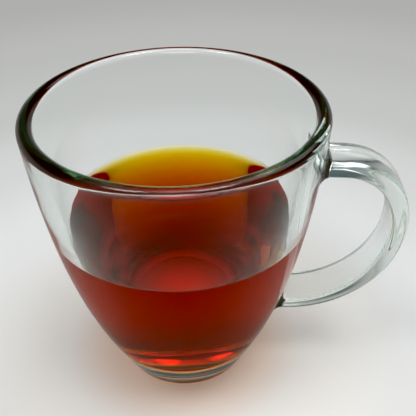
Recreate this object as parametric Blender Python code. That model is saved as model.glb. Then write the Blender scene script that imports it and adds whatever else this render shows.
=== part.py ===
"""A clear pressed glass mug with one handle, holding tea. It stands on its own.

The mug and its handle are one piece of glass. The tea is a second solid that fills the
mug up to the level seen through the wall. The part is centred on its own box: the cup's
axis stands a little to -X, and the handle points along +X.
"""
import math

import bpy
import numpy as np

# Driving sizes of the cup, in metres
MOUTH_RADIUS = 0.0450
FOOT_RADIUS = 0.0235
WALL_TOP = 0.0990
LIP_RADIUS = 0.00225
HEEL_RADIUS = 0.0020
FLOOR_HEIGHT = 0.0110
FLOOR_CORNER = 0.0090
WALL_GROWTH = 0.0006
CONTACT_WIDTH = 0.0037
PUNT_RISE = 0.0018

# The wall's outer curve bends most at these two heights, at these radii
LOW_BEND_RADIUS = 0.0307
LOW_BEND_HEIGHT = 0.0174
HIGH_BEND_RADIUS = 0.0423
HIGH_BEND_HEIGHT = 0.0403

# The tea's level above the table, and its gap to the glass
TEA_LEVEL = 0.0644
GAP = 0.0003

# The handle's middle line: a level run out of the cup, three turns of growing radius that
# come round by half a circle, and a level run back into the cup
TOP_RUN_HEIGHT = 0.0829
TOP_RUN_END = 0.0508
TOP_TURN_RADIUS = 0.0188
TOP_TURN = math.radians(64.5)
SIDE_TURN_RADIUS = 0.0263
SIDE_TURN = math.radians(24.0)
LOW_TURN_RADIUS = 0.0341
LOW_TURN = math.pi - TOP_TURN - SIDE_TURN

# The handle's strap, wider and thinner towards its lower end
STRAP_WIDTH_TOP = 0.0130
STRAP_WIDTH_LOW = 0.0146
STRAP_THICKNESS_TOP = 0.0064
STRAP_THICKNESS_LOW = 0.0050
STRAP_CORNER = 0.0016

# The strap meets the wall in a hollow quarter circle. Its rings stand at these shares of the
# circle's reach, and one more ring sits inside the glass, a little narrower than the foot
JOINT_FILLET = 0.0030
JOINT_STATIONS = (0.12, 0.40, 0.70)
JOINT_DEPTH = 0.0020
ROOT_FLARE = 0.85

# How finely the round shapes are cut
TURNS = 64
WALL_STEPS = 13
LIP_STEPS = 8
CORNER_STEPS = 6
HEEL_STEPS = 3
PUNT_STEPS = 4
STRAP_CORNER_STEPS = 3
STRAP_STEP = 0.0037
FINE_STEPS = 800
MERGE = 0.00001

GLASS_COLOUR = (0.86, 0.92, 0.90, 1.0)
GLASS_ROUGHNESS = 0.02
GLASS_IOR = 1.52
TEA_COLOUR = (0.42, 0.10, 0.02, 1.0)
TEA_ROUGHNESS = 0.0
TEA_IOR = 1.333


def clear_scene():
    """Everything that the scene holds is removed."""
    for thing in list(bpy.data.objects):
        bpy.data.objects.remove(thing, do_unlink=True)


def clear_material(name, colour, roughness, ior):
    """A see-through material in the piece's own colour."""
    material = bpy.data.materials.new(name)
    material.use_nodes = True
    shader = material.node_tree.nodes["Principled BSDF"]
    shader.inputs["Base Color"].default_value = colour
    shader.inputs["Metallic"].default_value = 0.0
    shader.inputs["Roughness"].default_value = roughness
    shader.inputs["IOR"].default_value = ior
    shader.inputs["Transmission Weight"].default_value = 1.0
    return material


def arc(centre, radius, start, end, steps):
    """Points of an arc in the radius and height plane, angles in radians."""
    angles = np.linspace(start, end, steps + 1)
    return np.stack([centre[0] + radius * np.cos(angles),
                     centre[1] + radius * np.sin(angles)], axis=1)


def outer_wall(steps):
    """The wall's outer curve from foot to lip, and its slope, as a cubic Bezier."""
    ends = np.array([(FOOT_RADIUS, 0.0), (LOW_BEND_RADIUS, LOW_BEND_HEIGHT),
                     (HIGH_BEND_RADIUS, HIGH_BEND_HEIGHT), (MOUTH_RADIUS, WALL_TOP)])
    t = np.linspace(0.0, 1.0, steps + 1)[:, None]
    s = 1.0 - t
    points = s**3 * ends[0] + 3 * s**2 * t * ends[1] + 3 * s * t**2 * ends[2] + t**3 * ends[3]
    along = (s**2 * (ends[1] - ends[0]) + 2 * s * t * (ends[2] - ends[1])
             + t**2 * (ends[3] - ends[2]))
    along /= np.linalg.norm(along, axis=1)[:, None]
    return points, along


def inner_wall(steps):
    """The outer curve moved inwards by the wall's thickness, a little more near the foot."""
    points, along = outer_wall(steps)
    inward = np.stack([-along[:, 1], along[:, 0]], axis=1)
    lowness = 1.0 - points[:, 1:] / WALL_TOP
    return points + inward * (2 * LIP_RADIUS + WALL_GROWTH * lowness)


def outer_radius(height):
    """The outer wall's radius at a height above the foot."""
    points = outer_wall(FINE_STEPS)[0]
    return np.interp(height, points[:, 1], points[:, 0])


def hollow_profile(inset):
    """The hollow's side from the middle of its floor up to the lip, moved in by inset."""
    floor = FLOOR_HEIGHT + inset
    corner = FLOOR_CORNER - inset
    fine = inner_wall(FINE_STEPS)
    fine[:, 0] -= inset
    # The corner's arc touches both the floor and the wall: its centre is at the height
    # of one radius above the floor, and one radius in from the wall.
    slope = np.gradient(fine[:, 0], fine[:, 1])
    length = np.hypot(1.0, slope)
    centres = fine + np.stack([-corner / length, corner * slope / length], axis=1)
    touch = int(np.argmin(np.abs(centres[:, 1] - (floor + corner))))
    centre = (centres[touch, 0], floor + corner)
    lean = -math.atan(slope[touch])
    turn = arc(centre, corner, -math.pi / 2, lean, CORNER_STEPS)
    rest = fine[touch:]
    picks = np.linspace(0, len(rest) - 1, WALL_STEPS).astype(int)[1:]
    return np.concatenate([[(0.0, floor)], [(centre[0] / 2, floor)], turn, rest[picks]])


def mug_profile():
    """Inner floor, inner wall, lip, outer wall, heel, contact ring and punt, in that order."""
    hollow = hollow_profile(0.0)
    points, along = outer_wall(WALL_STEPS)
    lean = math.atan2(along[-1, 0], along[-1, 1])
    lip_centre = (MOUTH_RADIUS - LIP_RADIUS * math.cos(lean),
                  WALL_TOP + LIP_RADIUS * math.sin(lean))
    lip = arc(lip_centre, LIP_RADIUS, math.pi - lean, -lean, LIP_STEPS)
    foot_lean = math.atan2(along[0, 0], along[0, 1])
    heel_middle = FOOT_RADIUS - HEEL_RADIUS * (1 - math.sin(foot_lean)) / math.cos(foot_lean)
    heel = arc((heel_middle, HEEL_RADIUS), HEEL_RADIUS, -foot_lean, -math.pi / 2, HEEL_STEPS)
    outside = points[::-1][1:]
    outside = outside[outside[:, 1] > heel[0, 1] + HEEL_RADIUS]
    ring_inner = heel_middle - CONTACT_WIDTH
    across = np.linspace(ring_inner, 0.0, PUNT_STEPS + 1)
    dome = PUNT_RISE * (1.0 - (across / ring_inner) ** 2)
    punt = np.stack([across, dome], axis=1)
    return np.concatenate([hollow[:-1], lip, outside, heel, punt])


def tea_profile():
    """The tea's flat top, then its side down the wall to the middle of the floor."""
    side = hollow_profile(GAP)[::-1]
    edge = np.interp(TEA_LEVEL, side[::-1, 1], side[::-1, 0])
    below = side[side[:, 1] < TEA_LEVEL - GAP]
    return np.concatenate([[(0.0, TEA_LEVEL)], [(edge / 2, TEA_LEVEL)], [(edge, TEA_LEVEL)], below])


def handle_line():
    """The handle's middle line: places, the directions facing out of it, share of the way."""
    places = [np.array([(outer_radius(TOP_RUN_HEIGHT) + JOINT_FILLET, TOP_RUN_HEIGHT)])]
    facings = [np.array([math.pi / 2])]
    end = np.array([TOP_RUN_END, TOP_RUN_HEIGHT])
    facing = math.pi / 2
    for radius, turn in ((TOP_TURN_RADIUS, TOP_TURN), (SIDE_TURN_RADIUS, SIDE_TURN),
                         (LOW_TURN_RADIUS, LOW_TURN)):
        steps = max(2, round(radius * turn / STRAP_STEP))
        centre = end - radius * np.array([math.cos(facing), math.sin(facing)])
        places.append(arc(centre, radius, facing, facing - turn, steps)[:-1])
        facings.append(np.linspace(facing, facing - turn, steps + 1)[:-1])
        facing -= turn
        end = centre + radius * np.array([math.cos(facing), math.sin(facing)])
    places = np.concatenate(places)
    facings = np.concatenate(facings)
    share = np.arange(len(places)) / (len(places) - 1)
    return places, np.stack([np.cos(facings), np.sin(facings)], axis=1), share, end


def strap_section(width, thickness, corner):
    """A rounded rectangle as side and outward offsets."""
    half_side = width / 2 - corner
    half_depth = thickness / 2 - corner
    corners = [(half_side, half_depth, 0.0), (-half_side, half_depth, 0.5 * math.pi),
               (-half_side, -half_depth, math.pi), (half_side, -half_depth, 1.5 * math.pi)]
    return np.concatenate([arc((side, depth), corner, turn, turn + math.pi / 2,
                               STRAP_CORNER_STEPS) for side, depth, turn in corners])


def joint_rings(height, up, width, thickness):
    """Rings that follow the cup's wall, from inside the glass out to the fillet's edge.

    Up is 1 where the strap's outer face looks up, and -1 where it looks down.
    """
    stations = [(-JOINT_DEPTH, ROOT_FLARE)]
    for share in JOINT_STATIONS:
        stations.append((share * JOINT_FILLET, 1.0 - math.sqrt(1.0 - (1.0 - share) ** 2)))
    rings = []
    for distance, flare in stations:
        spread = flare * JOINT_FILLET
        section = strap_section(width + 2 * spread, thickness + 2 * spread, STRAP_CORNER + spread)
        heights = height + up * section[:, 1]
        reach = outer_radius(heights) + distance
        across = np.sqrt(reach**2 - section[:, 0] ** 2)
        rings.append(np.stack([across, section[:, 0], heights], axis=1))
    return rings


def handle_rings():
    """Every ring of the strap, from the upper joint round to the lower one."""
    places, facings, share, end = handle_line()
    upper = joint_rings(TOP_RUN_HEIGHT, 1, STRAP_WIDTH_TOP, STRAP_THICKNESS_TOP)
    lower = joint_rings(end[1], -1, STRAP_WIDTH_LOW, STRAP_THICKNESS_LOW)
    clear_of_cup = lower[-1][:, 0].max() + STRAP_CORNER
    middle = []
    for place, facing, part in zip(places, facings, share):
        width = STRAP_WIDTH_TOP + (STRAP_WIDTH_LOW - STRAP_WIDTH_TOP) * part
        thickness = STRAP_THICKNESS_TOP + (STRAP_THICKNESS_LOW - STRAP_THICKNESS_TOP) * part
        section = strap_section(width, thickness, STRAP_CORNER)
        across = place + facing * section[:, 1:]
        ring = np.stack([across[:, 0], section[:, 0], across[:, 1]], axis=1)
        if ring[:, 0].min() > clear_of_cup:
            middle.append(ring)
    return upper + middle + lower[::-1]


def turned_piece(name, profile, material, cup_x):
    """A profile in the XZ plane, turned about the cup's axis."""
    mesh = bpy.data.meshes.new(name)
    points = [(radius, 0.0, height) for radius, height in profile]
    edges = [(i, i + 1) for i in range(len(points) - 1)]
    mesh.from_pydata(points, edges, [])
    piece = bpy.data.objects.new(name, mesh)
    bpy.context.scene.collection.objects.link(piece)
    piece.location = (cup_x, 0.0, 0.0)
    turn = piece.modifiers.new("turn", "SCREW")
    turn.axis = "Z"
    turn.angle = 2 * math.pi
    turn.steps = TURNS
    turn.render_steps = TURNS
    turn.use_merge_vertices = True
    turn.merge_threshold = MERGE
    turn.use_smooth_shade = True
    mesh.materials.append(material)
    return piece


def handle_piece(cup_x):
    """The strap as one closed skin of quads with a face across each end."""
    rings = handle_rings()
    count = len(rings[0])
    points = np.concatenate(rings)
    faces = []
    for ring in range(len(rings) - 1):
        for i in range(count):
            j = (i + 1) % count
            near = ring * count
            far = near + count
            faces.append((near + i, near + j, far + j, far + i))
    last = (len(rings) - 1) * count
    faces.append(tuple(reversed(range(count))))
    faces.append(tuple(range(last, last + count)))
    mesh = bpy.data.meshes.new("handle_strap")
    mesh.from_pydata(points.tolist(), [], faces)
    strap = bpy.data.objects.new("handle_strap", mesh)
    bpy.context.scene.collection.objects.link(strap)
    strap.location = (cup_x, 0.0, 0.0)
    mesh.shade_smooth()
    strap.hide_render = True
    strap.display_type = "WIRE"
    return strap


def main():
    """The glass and its handle are joined into one solid; the tea stays a second one."""
    clear_scene()
    glass = clear_material("clear_glass", GLASS_COLOUR, GLASS_ROUGHNESS, GLASS_IOR)
    brew = clear_material("brewed_tea", TEA_COLOUR, TEA_ROUGHNESS, TEA_IOR)
    handle_reach = max(ring[:, 0].max() for ring in handle_rings())
    cup_x = (MOUTH_RADIUS - handle_reach) / 2
    mug = turned_piece("mug", mug_profile(), glass, cup_x)
    join = mug.modifiers.new("handle", "BOOLEAN")
    join.operation = "UNION"
    join.solver = "EXACT"
    join.object = handle_piece(cup_x)
    turned_piece("tea", tea_profile(), brew, cup_x)


main()
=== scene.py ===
import math

import bpy
import numpy as np
from mathutils import Matrix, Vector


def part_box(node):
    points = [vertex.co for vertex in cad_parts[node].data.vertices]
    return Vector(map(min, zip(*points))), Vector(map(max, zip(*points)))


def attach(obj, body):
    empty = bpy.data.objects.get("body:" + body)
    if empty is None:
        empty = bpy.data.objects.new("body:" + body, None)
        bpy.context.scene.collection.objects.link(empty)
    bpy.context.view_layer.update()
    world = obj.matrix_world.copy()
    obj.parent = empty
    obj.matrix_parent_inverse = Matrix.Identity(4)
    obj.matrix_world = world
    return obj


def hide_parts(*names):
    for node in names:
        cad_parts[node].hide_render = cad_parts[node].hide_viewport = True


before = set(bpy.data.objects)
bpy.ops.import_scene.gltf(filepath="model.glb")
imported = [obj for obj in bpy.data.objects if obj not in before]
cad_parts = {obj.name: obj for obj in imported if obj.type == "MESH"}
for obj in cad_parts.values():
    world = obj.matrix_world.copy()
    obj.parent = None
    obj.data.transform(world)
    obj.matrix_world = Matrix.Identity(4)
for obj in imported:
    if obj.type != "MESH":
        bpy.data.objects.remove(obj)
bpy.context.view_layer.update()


# The glass mug. One piece of clear pressed glass: a wall with a fully round lip, a heavy
# floor, a hollow under the foot, and a strap handle that grows out of the wall. The wall is
# a curve turned about the cup's axis; the strap is carried along a line of three bends.
MOUTH_RADIUS = 0.0450
FOOT_RADIUS = 0.0235
WALL_TOP = 0.0990
LIP_RADIUS = 0.00225
HEEL_RADIUS = 0.0020
FLOOR_HEIGHT = 0.0110
FLOOR_CORNER = 0.0090
WALL_GROWTH = 0.0006
CONTACT_WIDTH = 0.0037
PUNT_RISE = 0.0018
WALL_BENDS = ((0.0307, 0.0174), (0.0423, 0.0403))
FINE_STEPS = 4000
COLUMNS = 240
ROW_STEP = 0.0012
FLOOR_ROWS = 11
CORNER_STEPS = 16
LIP_STEPS = 32
HEEL_STEPS = 12
CONTACT_STEPS = 3
PUNT_ROWS = 24

TOP_RUN_HEIGHT = 0.0829
TOP_RUN_END = 0.05077
TURNS = ((0.0188, math.radians(64.5)), (0.0263, math.radians(24.0)), (0.0341, math.radians(91.5)))
STRAP_WIDTHS = (0.0130, 0.0146)
STRAP_DEPTHS = (0.0064, 0.0050)
STRAP_SQUARENESS = 5.0
STRAP_STEP = 0.0009
TOP_RUN_STEPS = 4
JOINT_FILLET = 0.0030
JOINT_BLEND = 0.0030
JOINT_STEPS = 8
# Half the columns and half the rows of the wall that each joint takes the place of
TOP_PATCH = (12, 8)
LOW_PATCH = (14, 6)
PATCH_STEPS = 5

low_corner, high_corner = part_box("mug")
CUP_X = low_corner.x + MOUTH_RADIUS


def arc(centre, radius, start, end, steps):
    """Evenly spaced points of a circle from one angle to another."""
    angles = np.linspace(start, end, steps + 1)
    return np.stack([centre[0] + radius * np.cos(angles),
                     centre[1] + radius * np.sin(angles)], axis=1)


def outer_wall(steps):
    """The wall's outer curve from foot to mouth: a cubic Bezier through its two bends."""
    ends = np.array([(FOOT_RADIUS, 0.0), *WALL_BENDS, (MOUTH_RADIUS, WALL_TOP)])
    t = np.linspace(0.0, 1.0, steps + 1)[:, None]
    s = 1.0 - t
    points = s**3 * ends[0] + 3 * s**2 * t * ends[1] + 3 * s * t**2 * ends[2] + t**3 * ends[3]
    along = (s**2 * (ends[1] - ends[0]) + 2 * s * t * (ends[2] - ends[1])
             + t**2 * (ends[3] - ends[2]))
    return points, along / np.linalg.norm(along, axis=1)[:, None]


def inner_wall(steps):
    """The outer curve moved in along its normal by the wall's thickness at that height.

    The wall is as thick as the lip at the mouth and grows evenly by WALL_GROWTH to the foot.
    """
    points, along = outer_wall(steps)
    inward = np.stack([-along[:, 1], along[:, 0]], axis=1)
    lowness = 1.0 - points[:, 1:] / WALL_TOP
    return points + inward * (2 * LIP_RADIUS + WALL_GROWTH * lowness)


def even_rows(points, step):
    """A polyline read again at equal steps of its own length."""
    length = np.concatenate([[0.0], np.cumsum(np.linalg.norm(np.diff(points, axis=0), axis=1))])
    count = max(1, round(length[-1] / step))
    places = np.linspace(0.0, length[-1], count + 1)
    return np.stack([np.interp(places, length, points[:, 0]),
                     np.interp(places, length, points[:, 1])], axis=1)


def hollow_side(inset):
    """The hollow from the middle of its floor up to the mouth, moved in by inset.

    The corner is a circle that touches both the floor and the wall: its centre is one
    radius above the floor and one radius in from the wall.
    """
    floor = FLOOR_HEIGHT + inset
    corner = FLOOR_CORNER - inset
    fine = inner_wall(FINE_STEPS)
    fine[:, 0] -= inset
    slope = np.gradient(fine[:, 0], fine[:, 1])
    length = np.hypot(1.0, slope)
    centres = fine + np.stack([-corner / length, corner * slope / length], axis=1)
    touch = int(np.argmin(np.abs(centres[:, 1] - (floor + corner))))
    centre = (centres[touch, 0], floor + corner)
    turn = arc(centre, corner, -math.pi / 2, -math.atan(slope[touch]), CORNER_STEPS)
    across = np.linspace(0.0, centre[0], FLOOR_ROWS + 1)[:-1]
    flat = np.stack([across, np.full(FLOOR_ROWS, floor)], axis=1)
    return np.concatenate([flat, turn, even_rows(fine[touch:], ROW_STEP)[1:]])


wall_points, wall_along = outer_wall(FINE_STEPS)
foot_lean = math.atan2(wall_along[0, 0], wall_along[0, 1])
mouth_lean = math.atan2(wall_along[-1, 0], wall_along[-1, 1])
heel_middle = FOOT_RADIUS - HEEL_RADIUS * (1 - math.sin(foot_lean)) / math.cos(foot_lean)
heel = arc((heel_middle, HEEL_RADIUS), HEEL_RADIUS, -foot_lean, -math.pi / 2, HEEL_STEPS)
wall_rows = even_rows(wall_points[wall_points[:, 1] >= heel[0, 1]], ROW_STEP)[::-1]
lip = arc((MOUTH_RADIUS - LIP_RADIUS * math.cos(mouth_lean),
           WALL_TOP + LIP_RADIUS * math.sin(mouth_lean)),
          LIP_RADIUS, math.pi - mouth_lean, -mouth_lean, LIP_STEPS)
punt_across = np.linspace(1.0, 0.0, PUNT_ROWS)
punt_edge = heel_middle - CONTACT_WIDTH
punt = np.stack([punt_edge * punt_across, PUNT_RISE * (1.0 - punt_across**2)], axis=1)
hollow = hollow_side(0.0)
contact_across = np.linspace(heel_middle, punt_edge, CONTACT_STEPS + 1)[1:-1]
contact = np.stack([contact_across, np.zeros(len(contact_across))], axis=1)
mug_profile = np.concatenate([hollow[:-1], lip, wall_rows[1:-1], heel, contact, punt])
first_wall_row = len(hollow) - 1 + len(lip) - 1


def turned_points(profile):
    """Each point of the profile but its two ends goes round the cup's axis; ends are poles."""
    around = np.arange(COLUMNS) * (2 * math.pi / COLUMNS)
    radius = profile[1:-1, :1]
    height = np.broadcast_to(profile[1:-1, 1:], (len(profile) - 2, COLUMNS))
    rows = np.stack([CUP_X + radius * np.cos(around), radius * np.sin(around), height], axis=2)
    poles = np.array([(CUP_X, 0.0, profile[0, 1]), (CUP_X, 0.0, profile[-1, 1])])
    return rows.reshape(-1, 3), poles


def turned_faces(rows):
    """Quads between neighbouring rows and columns, and a fan of triangles at each pole."""
    here = np.arange(rows * COLUMNS).reshape(rows, COLUMNS)
    beside = np.roll(here, -1, axis=1)
    quads = np.stack([here[:-1], here[1:], beside[1:], beside[:-1]], axis=2)
    first = np.full(COLUMNS, rows * COLUMNS)
    start = np.stack([first, here[0], beside[0]], axis=1)
    finish = np.stack([first + 1, beside[-1], here[-1]], axis=1)
    return quads, start, finish


def make_piece(name, points, quads, triangles, shine):
    """One smooth closed mesh at the origin; points that no face uses are dropped.

    Its attribute "shine" says how much each point's skin reflects when seen straight on.
    """
    corners = np.concatenate([quads.reshape(-1), triangles.reshape(-1)])
    used, corners = np.unique(corners, return_inverse=True)
    sizes = np.concatenate([np.full(len(quads), 4), np.full(len(triangles), 3)])
    mesh = bpy.data.meshes.new(name)
    mesh.vertices.add(len(used))
    mesh.vertices.foreach_set("co", points[used].astype(np.float32).reshape(-1))
    mesh.loops.add(len(corners))
    mesh.loops.foreach_set("vertex_index", corners.astype(np.int32))
    mesh.polygons.add(len(sizes))
    mesh.polygons.foreach_set("loop_start", (np.cumsum(sizes) - sizes).astype(np.int32))
    mesh.polygons.foreach_set("use_smooth", np.ones(len(sizes), dtype=bool))
    mesh.update(calc_edges=True)
    mesh.validate()
    shines = mesh.attributes.new("shine", "FLOAT", "POINT")
    shines.data.foreach_set("value", shine[used].astype(np.float32))
    piece = bpy.data.objects.new(name, mesh)
    bpy.context.scene.collection.objects.link(piece)
    return piece


def patch_edge(half_columns, half_rows):
    """Corner coordinates -1 to 1 round a patch, from the middle of its +Y side upwards."""
    side = np.linspace(-1.0, 1.0, 2 * half_rows + 1)[:-1]
    top = np.linspace(-1.0, 1.0, 2 * half_columns + 1)[:-1]
    right = np.stack([np.ones(len(side)), side], axis=1)
    over = np.stack([-top, np.ones(len(top))], axis=1)
    loop = np.concatenate([right, over, -right, -over])
    return np.roll(loop, -half_rows, axis=0)


def strap_section(share):
    """The strap's outline: a square's edge pushed onto a superellipse, unit half sizes.

    Its points move along the edge from the upper patch's spacing to the lower patch's.
    """
    square = (1 - share) * patch_edge(*TOP_PATCH) + share * patch_edge(*LOW_PATCH)
    square /= np.abs(square).max(axis=1)[:, None]
    power = STRAP_SQUARENESS
    return square / ((np.abs(square) ** power).sum(axis=1) ** (1 / power))[:, None]


def outer_radius(height):
    """The outer wall's radius at a height."""
    return np.interp(height, wall_points[:, 1], wall_points[:, 0])


def seated_ring(height, up, half_width, half_depth, distance, share):
    """A ring of the strap that keeps an equal distance from the wall all round.

    Each point's distance from the cup's axis is the wall's radius at its height plus that.
    """
    section = strap_section(share)
    across = section[:, 0] * half_width
    heights = height + up * section[:, 1] * half_depth
    reach = outer_radius(heights) + distance
    return np.stack([np.sqrt(reach**2 - across**2), across, heights], axis=1)


def fillet_rings(height, up, width, depth, share):
    """Rings of a quarter circle that runs from the wall's skin onto the strap's."""
    rings = []
    for turn in np.linspace(0.0, math.pi / 2, JOINT_STEPS + 1)[:-1]:
        flare = JOINT_FILLET * (1 - math.sin(turn))
        distance = JOINT_FILLET * (1 - math.cos(turn))
        rings.append(seated_ring(height, up, width / 2 + flare, depth / 2 + flare, distance, share))
    return rings


def handle_line():
    """Places and outward directions along the strap's middle: level, three bends, level."""
    start = outer_radius(TOP_RUN_HEIGHT) + JOINT_FILLET
    level_run = np.linspace(start, TOP_RUN_END, TOP_RUN_STEPS + 1)[:-1]
    places = [np.stack([level_run, np.full(TOP_RUN_STEPS, TOP_RUN_HEIGHT)], axis=1)]
    facings = [np.full(TOP_RUN_STEPS, math.pi / 2)]
    end = np.array([TOP_RUN_END, TOP_RUN_HEIGHT])
    facing = math.pi / 2
    for radius, turn in TURNS:
        steps = round(radius * turn / STRAP_STEP)
        centre = end - radius * np.array([math.cos(facing), math.sin(facing)])
        places.append(arc(centre, radius, facing, facing - turn, steps)[:-1])
        facings.append(np.linspace(facing, facing - turn, steps + 1)[:-1])
        facing -= turn
        end = centre + radius * np.array([math.cos(facing), math.sin(facing)])
    stop = outer_radius(end[1]) + JOINT_FILLET
    steps = max(2, round((end[0] - stop) / STRAP_STEP))
    level_run = np.linspace(end[0], stop, steps + 1)
    places.append(np.stack([level_run, np.full(steps + 1, end[1])], axis=1))
    facings.append(np.full(steps + 1, -math.pi / 2))
    facings = np.concatenate(facings)
    return np.concatenate(places), np.stack([np.cos(facings), np.sin(facings)], axis=1), end


def smooth_step(value):
    """0 below 0, 1 above 1, and an even S between."""
    value = np.clip(value, 0.0, 1.0)
    return value * value * (3 - 2 * value)


def handle_rings():
    """The strap from the upper joint to the lower; near the wall its rings turn to follow it."""
    places, facings, end = handle_line()
    steps = np.linalg.norm(np.diff(places, axis=0), axis=1)
    run = np.concatenate([[0.0], np.cumsum(steps)])
    share = run / run[-1]
    widths = STRAP_WIDTHS[0] + (STRAP_WIDTHS[1] - STRAP_WIDTHS[0]) * share
    depths = STRAP_DEPTHS[0] + (STRAP_DEPTHS[1] - STRAP_DEPTHS[0]) * share
    upper = fillet_rings(TOP_RUN_HEIGHT, 1, STRAP_WIDTHS[0], STRAP_DEPTHS[0], 0.0)
    lower = fillet_rings(end[1], -1, STRAP_WIDTHS[1], STRAP_DEPTHS[1], 1.0)
    rings = []
    for i in range(len(places)):
        section = strap_section(share[i])
        out = places[i] + facings[i] * section[:, 1:] * depths[i] / 2
        ring = np.stack([out[:, 0], section[:, 0] * widths[i] / 2, out[:, 1]], axis=1)
        from_top = run[i]
        from_low = run[-1] - run[i]
        if from_top < JOINT_BLEND:
            seated = seated_ring(places[i][1], 1, widths[i] / 2, depths[i] / 2,
                                 JOINT_FILLET + from_top, share[i])
            ring += (seated - ring) * (1 - smooth_step(from_top / JOINT_BLEND))
        if from_low < JOINT_BLEND:
            seated = seated_ring(places[i][1], -1, widths[i] / 2, depths[i] / 2,
                                 JOINT_FILLET + from_low, share[i])
            ring += (seated - ring) * (1 - smooth_step(from_low / JOINT_BLEND))
        rings.append(ring)
    return upper, rings, lower[::-1]


def wall_place(ring):
    """A ring on the wall's skin as angle about the axis and height."""
    return np.stack([np.arctan2(ring[:, 1], ring[:, 0]), ring[:, 2]], axis=1)


def wall_rings(edge, foot):
    """Rings between a patch's edge and the strap's foot, on the wall's own skin."""
    shares = np.linspace(0.0, 1.0, PATCH_STEPS + 1)[1:-1]
    rings = []
    for share in shares:
        angle, height = (edge + (foot - edge) * share).T
        radius = outer_radius(height)
        rings.append(np.stack([radius * np.cos(angle), radius * np.sin(angle), height], axis=1))
    return rings


def patch_indices(middle_row, patch, up):
    """Which points of the turned wall lie round a patch, in the strap's own order."""
    loop = patch_edge(*patch)
    columns = np.rint(loop[:, 0] * patch[0]).astype(int) % COLUMNS
    rows = middle_row - np.rint(up * loop[:, 1] * patch[1]).astype(int)
    return (rows - 1) * COLUMNS + columns


mug_points, mug_poles = turned_points(mug_profile)
mug_rows = len(mug_profile) - 2
mug_quads, mug_start, mug_finish = turned_faces(mug_rows)
upper, rings, lower = handle_rings()
low_run_height = handle_line()[2][1]
wall_span = np.arange(first_wall_row, first_wall_row + len(wall_rows))
keep = np.ones(mug_quads.shape[:2], dtype=bool)
edges = []
for height, patch, up in ((TOP_RUN_HEIGHT, TOP_PATCH, 1), (low_run_height, LOW_PATCH, -1)):
    middle = wall_span[int(np.argmin(np.abs(mug_profile[wall_span, 1] - height)))]
    edges.append(patch_indices(middle, patch, up))
    rows_cut = np.arange(middle - 1 - patch[1], middle - 1 + patch[1])
    columns_cut = np.arange(-patch[0], patch[0]) % COLUMNS
    keep[np.ix_(rows_cut, columns_cut)] = False

edge_places = [wall_place(mug_points[edge] - np.array([CUP_X, 0.0, 0.0])) for edge in edges]
strap = (wall_rings(edge_places[0], wall_place(upper[0])) + upper + rings + lower
         + wall_rings(edge_places[1], wall_place(lower[-1]))[::-1])
strap_points = np.concatenate(strap) + np.array([CUP_X, 0.0, 0.0])
around = strap[0].shape[0]
strap_start = len(mug_points) + len(mug_poles)
strap_own = strap_start + np.arange(len(strap_points)).reshape(-1, around)
strap_index = np.concatenate([edges[0][None], strap_own, edges[1][None]])
strap_next = np.roll(strap_index, -1, axis=1)
strap_quads = np.stack([strap_index[:-1], strap_next[:-1], strap_next[1:], strap_index[1:]], axis=2)

# The plain wall and all that touches the tea reflect nothing when seen straight on
TEA_LEVEL = 0.0644
TOUCH_SHINE = 0.0
WALL_SHINE = 0.0
EDGE_SHINE = 1.0
row = np.arange(mug_rows)
on_lip = (row >= len(hollow) - 2) & (row < first_wall_row)
touches_tea = (row < len(hollow) - 1) & (mug_profile[1:-1, 1] < TEA_LEVEL)
row_shine = np.where(touches_tea, TOUCH_SHINE, np.where(on_lip, EDGE_SHINE, WALL_SHINE))
mug_shine = np.concatenate([np.repeat(row_shine, COLUMNS), [TOUCH_SHINE, WALL_SHINE],
                            np.full(len(strap_points), EDGE_SHINE)])
mug = make_piece("glass_mug", np.concatenate([mug_points, mug_poles, strap_points]),
                 np.concatenate([mug_quads[keep], strap_quads.reshape(-1, 4)]),
                 np.concatenate([mug_start, mug_finish]), mug_shine)


def node(tree, kind, **inputs):
    """A shader node of a kind, with its sockets set by name."""
    made = tree.nodes.new(kind)
    for name, value in inputs.items():
        made.inputs[name.replace("_", " ")].default_value = value
    return made


def clear_stuff(name, ior, depth_colour, density):
    """See-through stuff that takes colour from light by the length of its way inside.

    Its skin reflects by the piece's "shine", which is 0 where glass and tea touch, because
    their indices are close.
    """
    material = bpy.data.materials.new(name)
    material.use_nodes = True
    tree = material.node_tree
    shader = tree.nodes["Principled BSDF"]
    shader.inputs["Base Color"].default_value = (1.0, 1.0, 1.0, 1.0)
    shader.inputs["Roughness"].default_value = 0.0
    shader.inputs["IOR"].default_value = ior
    shader.inputs["Transmission Weight"].default_value = 1.0
    shine = node(tree, "ShaderNodeAttribute")
    shine.attribute_name = "shine"
    tree.links.new(shine.outputs["Fac"], shader.inputs["Specular Tint"])
    inside = node(tree, "ShaderNodeVolumeAbsorption", Color=depth_colour, Density=density)
    tree.links.new(inside.outputs[0], tree.nodes["Material Output"].inputs["Volume"])
    return material


# The glass is faintly green along a deep way and has the slow waves of a pressed skin
GLASS_IOR = 1.52
GLASS_DEPTH_COLOUR = (0.0, 0.5, 0.25, 1.0)
GLASS_DENSITY = 8.0
WAVE_SCALE = 60.0
WAVE_DETAIL = 1.0
WAVE_STRENGTH = 0.12
WAVE_HEIGHT = 0.001
glass = clear_stuff("pressed_glass", GLASS_IOR, GLASS_DEPTH_COLOUR, GLASS_DENSITY)
tree = glass.node_tree
place = node(tree, "ShaderNodeTexCoord")
waves = node(tree, "ShaderNodeTexNoise", Scale=WAVE_SCALE, Detail=WAVE_DETAIL)
tree.links.new(place.outputs["Object"], waves.inputs["Vector"])
ripple = node(tree, "ShaderNodeBump", Strength=WAVE_STRENGTH, Distance=WAVE_HEIGHT)
tree.links.new(waves.outputs[0], ripple.inputs["Height"])
tree.links.new(ripple.outputs[0], tree.nodes["Principled BSDF"].inputs["Normal"])
mug.data.materials.append(glass)
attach(mug, "root")
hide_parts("mug")


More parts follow.
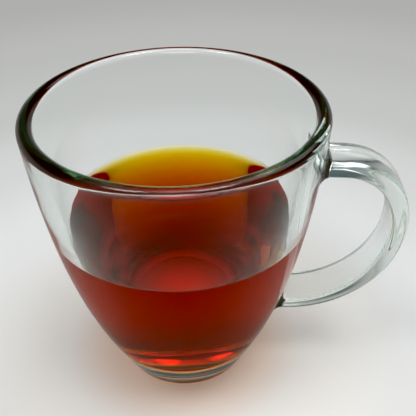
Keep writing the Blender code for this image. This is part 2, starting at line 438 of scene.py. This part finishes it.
# The tea. A clear drink that fills the mug to its level: amber where it is thin, red-brown
# where it is deep. Its sides and floor reach just into the glass, so no air shows between,
# and its top climbs a little way up the wall.
TEA_REACH = 0.00008
TEA_CLIMB = 0.0008
CLIMB_WIDTH = 0.0013
TEA_SHINE = 0.3
TEA_IOR = 1.333
TEA_DEPTH_COLOUR = (0.9690, 0.870, 0.0, 1.0)
TEA_DENSITY = 600.0
TOP_ROWS = 16
EDGE_ZONE = 0.008
EDGE_ROWS = 32
EDGE_CROWDING = 1.5

tea_side = hollow_side(-TEA_REACH)
tea_edge = np.interp(TEA_LEVEL + TEA_CLIMB, tea_side[:, 1], tea_side[:, 0])
below = tea_side[tea_side[:, 1] < TEA_LEVEL + TEA_CLIMB - ROW_STEP / 4]
# The top's rows crowd towards its edge, where the tea climbs
inner_edge = tea_edge - TEA_REACH
from_edge = EDGE_ZONE * (1 - np.linspace(0.0, 1.0, EDGE_ROWS + 1)[1:]) ** EDGE_CROWDING
top_radius = np.concatenate([np.linspace(0.0, inner_edge - EDGE_ZONE, TOP_ROWS),
                             inner_edge - from_edge])
top_height = TEA_LEVEL + TEA_CLIMB * np.exp((top_radius - inner_edge) / CLIMB_WIDTH)
rim_height = TEA_LEVEL + TEA_CLIMB
rim = np.array([(tea_edge - TEA_REACH / 2, rim_height),
                (tea_edge, rim_height),
                (tea_edge, rim_height - TEA_REACH / 4)])
tea_profile = np.concatenate([np.stack([top_radius, top_height], axis=1), rim, below[::-1]])
tea_points, tea_poles = turned_points(tea_profile)
tea_quads, tea_start, tea_finish = turned_faces(len(tea_profile) - 2)
on_top = np.arange(len(tea_profile) - 2) < len(top_radius) + len(rim) - 2
row_shine = np.where(on_top, TEA_SHINE, TOUCH_SHINE)
tea_shine = np.concatenate([np.repeat(row_shine, COLUMNS), [TEA_SHINE, TOUCH_SHINE]])
tea = make_piece("tea_in_mug", np.concatenate([tea_points, tea_poles]), tea_quads.reshape(-1, 4),
                 np.concatenate([tea_start, tea_finish]), tea_shine)
brew = clear_stuff("red_brown_tea", TEA_IOR, TEA_DEPTH_COLOUR, TEA_DENSITY)
tea.data.materials.append(brew)
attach(tea, "root")
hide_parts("tea")


# The table, the light and the camera. The floor is wide and pale, with painted light on it: a painted
# pool of light that is palest round the cup and darker further off, and a painted warm caustic under
# the foot; the light is a soft field all round with soft round lights in it; and the camera stands
# where the photograph was taken from.
FLOOR_SIZE = 3.0
PAPER_ROUGHNESS = 0.6
PAPER_SHEEN = 0.2
# Distance from the middle of the foot, and the paper's colour there. These colours are painted light: a
# painted warm caustic close to the foot, and a painted pool of light that grows darker with distance.
PAPER_WITH_PAINTED_LIGHT = ((0.024, (0.86, 0.66, 0.54)), (0.048, (0.84, 0.80, 0.76)), (0.10, (0.71, 0.705, 0.70)),
               (0.16, (0.61, 0.605, 0.595)), (0.22, (0.51, 0.505, 0.495)), (0.32, (0.46, 0.455, 0.445)),
               (0.45, (0.40, 0.395, 0.385)), (0.60, (0.36, 0.355, 0.345)))
# Painted glow: the paper itself gives off warm light under the foot, standing in for the light that the
# cup gathers there
PAINTED_GLOW_COLOUR = (1.0, 0.50, 0.28, 1.0)
PAINTED_GLOW_LEVEL = 1.2
PAINTED_GLOW_REACH = 0.028


def blend_tones(tree, value, painted_light_ramp, start, end):
    """Colour read from a value: each tone is a value and its colour, blended in between."""
    share = node(tree, "ShaderNodeMapRange")
    share.inputs["From Min"].default_value = start
    share.inputs["From Max"].default_value = end
    tree.links.new(value, share.inputs["Value"])
    ramp = node(tree, "ShaderNodeValToRGB")
    steps = ramp.color_ramp.elements
    for i, (at, colour) in enumerate(painted_light_ramp):
        position = (at - start) / (end - start)
        step = steps[i] if i < 2 else steps.new(position)
        step.position = position
        step.color = (*colour, 1.0)
    tree.links.new(share.outputs[0], ramp.inputs[0])
    return ramp


bpy.ops.mesh.primitive_plane_add(size=2 * FLOOR_SIZE, location=(0.0, 0.0, 0.0))
table = bpy.context.object
table.name = "pale_table"
paper = bpy.data.materials.new("pale_paper")
paper.use_nodes = True
tree = paper.node_tree
paper_shader = tree.nodes["Principled BSDF"]
paper_shader.inputs["Roughness"].default_value = PAPER_ROUGHNESS
paper_shader.inputs["Specular IOR Level"].default_value = PAPER_SHEEN
place = node(tree, "ShaderNodeTexCoord")
away = node(tree, "ShaderNodeVectorMath")
away.operation = "DISTANCE"
away.inputs[1].default_value = (CUP_X, 0.0, 0.0)
tree.links.new(place.outputs["Object"], away.inputs[0])
# The paper's colour carries painted light: warm near the foot and darker further away
painted_light_ramp = blend_tones(tree, away.outputs["Value"], PAPER_WITH_PAINTED_LIGHT, 0.0, PAPER_WITH_PAINTED_LIGHT[-1][0])
painted_light_ramp.color_ramp.interpolation = "EASE"
tree.links.new(painted_light_ramp.outputs[0], paper_shader.inputs["Base Color"])
# Painted glow: the paper emits warm light that fades out a short way from the middle of the foot
painted_glow = node(tree, "ShaderNodeMapRange")
painted_glow.interpolation_type = "SMOOTHSTEP"
painted_glow.inputs["From Max"].default_value = PAINTED_GLOW_REACH
painted_glow.inputs["To Min"].default_value = PAINTED_GLOW_LEVEL
painted_glow.inputs["To Max"].default_value = 0.0
tree.links.new(away.outputs["Value"], painted_glow.inputs["Value"])
tree.links.new(painted_glow.outputs[0], paper_shader.inputs["Emission Strength"])
paper_shader.inputs["Emission Color"].default_value = PAINTED_GLOW_COLOUR
table.data.materials.append(paper)
table.visible_glossy = False

# The field's colour by the height of the direction, from -1 straight down to 1 straight up
FIELD = ((-0.92, (0.16, 0.15, 0.14)), (-0.70, (0.34, 0.33, 0.32)), (0.0, (0.44, 0.44, 0.44)),
         (0.17, (0.33, 0.33, 0.33)), (0.32, (0.06, 0.10, 0.11)))
world = bpy.data.worlds.new("soft_field")
bpy.context.scene.world = world
world.use_nodes = True
tree = world.node_tree
direction = node(tree, "ShaderNodeTexCoord")
split = node(tree, "ShaderNodeSeparateXYZ")
tree.links.new(direction.outputs["Generated"], split.inputs[0])
light = blend_tones(tree, split.outputs["Z"], FIELD, -1.0, 1.0).outputs[0]

# Soft round lights: where each hangs as seen from the cup, the angles at which it starts to
# fade and is gone, and its brightness
SOFT_LIGHTS = (((0.0, 0.0, 1.0), 5.0, 45.0, 0.75),
               ((0.0, -0.05, 0.999), 3.0, 15.0, 2.2),
               ((0.27, -0.14, 0.953), 3.0, 12.0, 8.5),
               ((-0.36, -0.18, 0.915), 3.0, 12.0, 8.0),
               ((0.0, -0.77, 0.64), 4.0, 18.0, 3.6),
               ((-0.51, -0.60, 0.616), 10.0, 45.0, 0.30),
               ((0.60, -0.50, 0.62), 8.0, 42.0, 0.25),
               ((0.54, 0.32, 0.78), 6.0, 28.0, 1.8))
for toward, inner, outer, level in SOFT_LIGHTS:
    facing = node(tree, "ShaderNodeVectorMath")
    facing.operation = "DOT_PRODUCT"
    tree.links.new(direction.outputs["Generated"], facing.inputs[0])
    facing.inputs[1].default_value = toward
    fade = node(tree, "ShaderNodeMapRange")
    fade.interpolation_type = "SMOOTHSTEP"
    fade.inputs["From Min"].default_value = math.cos(math.radians(outer))
    fade.inputs["From Max"].default_value = math.cos(math.radians(inner))
    fade.inputs["To Max"].default_value = level
    tree.links.new(facing.outputs["Value"], fade.inputs["Value"])
    total = node(tree, "ShaderNodeVectorMath")
    tree.links.new(light, total.inputs[0])
    tree.links.new(fade.outputs[0], total.inputs[1])
    light = total.outputs[0]
tree.links.new(light, tree.nodes["Background"].inputs["Color"])

# The camera's place, how far it looks down and to the side, and how far it is rolled
CAMERA_PLACE = (0.00338, -0.14504, 0.17401)
CAMERA_DOWN = 0.6508
CAMERA_SIDE = -0.0575
CAMERA_ROLL = 0.0127
SENSOR_WIDTH_MM = 36.0
LENS_MM = 48.0
NEAR_LIMIT = 0.01
FAR_LIMIT = 20.0
camera_data = bpy.data.cameras.new("camera")
camera_data.sensor_width = SENSOR_WIDTH_MM
camera_data.lens = LENS_MM
camera_data.clip_start = NEAR_LIMIT
camera_data.clip_end = FAR_LIMIT
camera = bpy.data.objects.new("camera", camera_data)
forward = np.array([math.sin(CAMERA_SIDE) * math.cos(CAMERA_DOWN),
                    math.cos(CAMERA_SIDE) * math.cos(CAMERA_DOWN), -math.sin(CAMERA_DOWN)])
right = np.array([math.cos(CAMERA_SIDE), -math.sin(CAMERA_SIDE), 0.0])
down = np.cross(forward, right)
right_turned = math.cos(CAMERA_ROLL) * right + math.sin(CAMERA_ROLL) * down
down_turned = math.cos(CAMERA_ROLL) * down - math.sin(CAMERA_ROLL) * right
pose = np.eye(4)
pose[:3, 0] = right_turned
pose[:3, 1] = -down_turned
pose[:3, 2] = -forward
pose[:3, 3] = CAMERA_PLACE
camera.matrix_world = Matrix(pose.tolist())
bpy.context.scene.collection.objects.link(camera)
bpy.context.scene.camera = camera

BLACK_LEVEL = (0.0, 0.010, 0.016)
CLEAR_BOUNCES = 32
MIRROR_BOUNCES = 16
SOFT_BOUNCES = 4
BRIGHTEST_BOUNCE = 10.0
scene = bpy.context.scene
scene.view_settings.view_transform = "Standard"
scene.view_settings.use_curve_mapping = True
scene.view_settings.curve_mapping.black_level = BLACK_LEVEL
scene.view_settings.curve_mapping.update()
scene.cycles.max_bounces = CLEAR_BOUNCES
scene.cycles.transmission_bounces = CLEAR_BOUNCES
scene.cycles.transparent_max_bounces = CLEAR_BOUNCES
scene.cycles.glossy_bounces = MIRROR_BOUNCES
scene.cycles.diffuse_bounces = SOFT_BOUNCES
scene.cycles.caustics_refractive = True
scene.cycles.caustics_reflective = True
scene.cycles.sample_clamp_indirect = BRIGHTEST_BOUNCE
